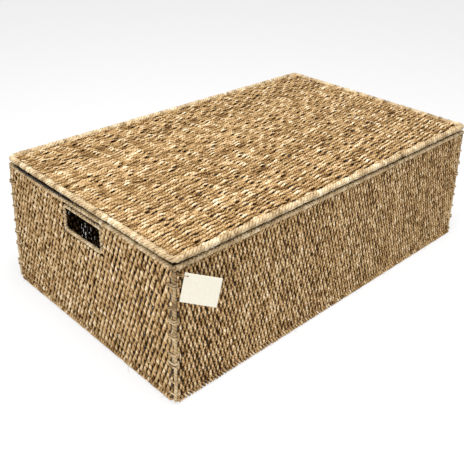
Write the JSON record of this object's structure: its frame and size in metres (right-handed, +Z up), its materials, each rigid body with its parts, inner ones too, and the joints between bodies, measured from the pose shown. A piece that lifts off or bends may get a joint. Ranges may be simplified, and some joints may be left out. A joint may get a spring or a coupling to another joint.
{
  "type": "wicker storage trunk",
  "caption": "Low rectangular storage trunk of twisted seagrass woven on wire frames, with a flat hinged lid, bound hand holes in both ends and a bare card swing tag.",
  "frame": {"origin": "middle of the base's underside, on the floor", "axes": "+X along the trunk's length to the right end, +Y from the front to the hinged back, +Z up"},
  "size_m": [0.7398, 0.4926, 0.2422],
  "materials": {
    "seagrass_weave": "twisted dry seagrass cord, straw to brown, matt",
    "seagrass_binding": "pale seagrass cord wrapped tightly, matt",
    "lashing_cord": "pale seagrass cord, matt",
    "frame_wire": "dark lacquered steel wire",
    "tag_card": "plain off-white card",
    "tag_string": "thin undyed string"
  },
  "bodies": {
    "trunk": {"base_frame": "frame_wire", "base_weave": "seagrass_weave", "front_frame": "frame_wire", "front_weave": "seagrass_weave", "back_frame": "frame_wire", "back_weave": "seagrass_weave", "left_end_frame": "frame_wire", "left_end_weave": "seagrass_weave", "right_end_frame": "frame_wire", "right_end_weave": "seagrass_weave", "front_rim_binding": "seagrass_binding", "left_rim_binding": "seagrass_binding", "right_rim_binding": "seagrass_binding", "back_rim_binding_left": "seagrass_binding", "back_rim_binding_middle": "seagrass_binding", "back_rim_binding_right": "seagrass_binding", "left_end_handle_binding": "seagrass_binding", "right_end_handle_binding": "seagrass_binding", "front_left_corner_lashing": "lashing_cord", "front_right_corner_lashing": "lashing_cord", "back_left_corner_lashing": "lashing_cord", "back_right_corner_lashing": "lashing_cord", "front_base_lashing": "lashing_cord", "back_base_lashing": "lashing_cord", "left_base_lashing": "lashing_cord", "right_base_lashing": "lashing_cord", "left_hinge_loop": "lashing_cord", "right_hinge_loop": "lashing_cord", "tag_string": "tag_string"},
    "lid": {"lid_frame": "frame_wire", "lid_weave": "seagrass_weave", "lid_border_binding": "seagrass_binding", "lid_back_binding": "seagrass_binding"},
    "tag": {"tag_card": "tag_card"}
  },
  "joints": [
    {"name": "lid_hinge", "type": "hinge", "parent": "trunk", "child": "lid", "pos_m": [0, 0.219, 0.2363], "axis": [-1, 0, 0], "range_deg": [0, 110]},
    {"name": "tag_swing", "type": "hinge", "parent": "trunk", "child": "tag", "pos_m": [-0.35501, -0.23593, 0.21715], "axis": [-0.6947, -0.7193, 0], "range_deg": [0, 80]}
  ]
}
